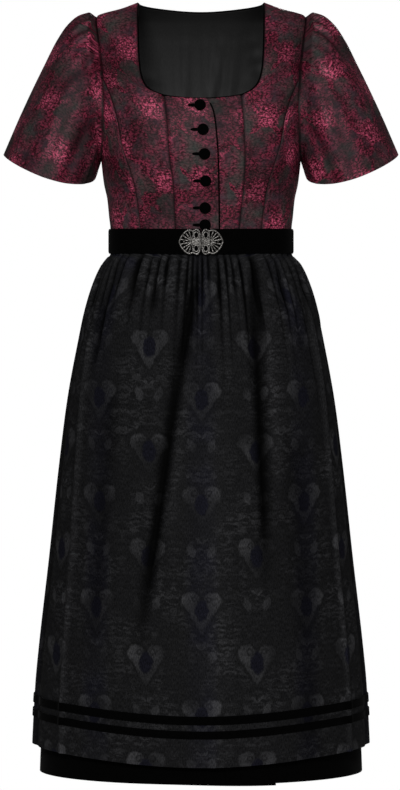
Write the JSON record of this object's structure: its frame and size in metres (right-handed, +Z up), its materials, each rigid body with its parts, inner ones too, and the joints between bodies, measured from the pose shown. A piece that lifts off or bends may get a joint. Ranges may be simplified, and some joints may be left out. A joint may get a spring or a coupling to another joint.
{
  "type": "dirndl",
  "caption": "Worn, hollow dirndl: brocade bodice with square neck and puffed short sleeves, velvet belt with filigree clasp, gathered skirt and jacquard apron with velvet ribbons.",
  "frame": {"origin": "midway between the shoulders, level with the neck points, where the wearer's shoulders hold the dress", "axes": "+X to the wearer's left, -Y to the front, +Z up"},
  "size_m": [0.592, 0.3863, 1.1553],
  "materials": {
    "brocade": "silk brocade",
    "lining": "plain lining",
    "velvet": "velvet",
    "skirt_cloth": "matt woven",
    "jacquard": "tone on tone jacquard",
    "silver": "antique silver casting"
  },
  "bodies": {
    "root": {"centre_front_right": "brocade", "centre_front_left": "brocade", "side_front_right": "brocade", "side_front_left": "brocade", "side_panel_right": "brocade", "side_panel_left": "brocade", "back": "brocade", "sleeve_right": "brocade", "sleeve_left": "brocade", "back_lining": "lining", "neck_piping": "velvet", "placket_piping": "velvet", "belt": "velvet", "ribbon_upper": "velvet", "ribbon_lower": "velvet", "hem_band": "velvet", "button_1": "velvet", "button_2": "velvet", "button_3": "velvet", "button_4": "velvet", "button_5": "velvet", "button_6": "velvet", "skirt": "skirt_cloth", "apron": "jacquard", "clasp_right": "silver", "clasp_left": "silver"}
  },
  "joints": []
}
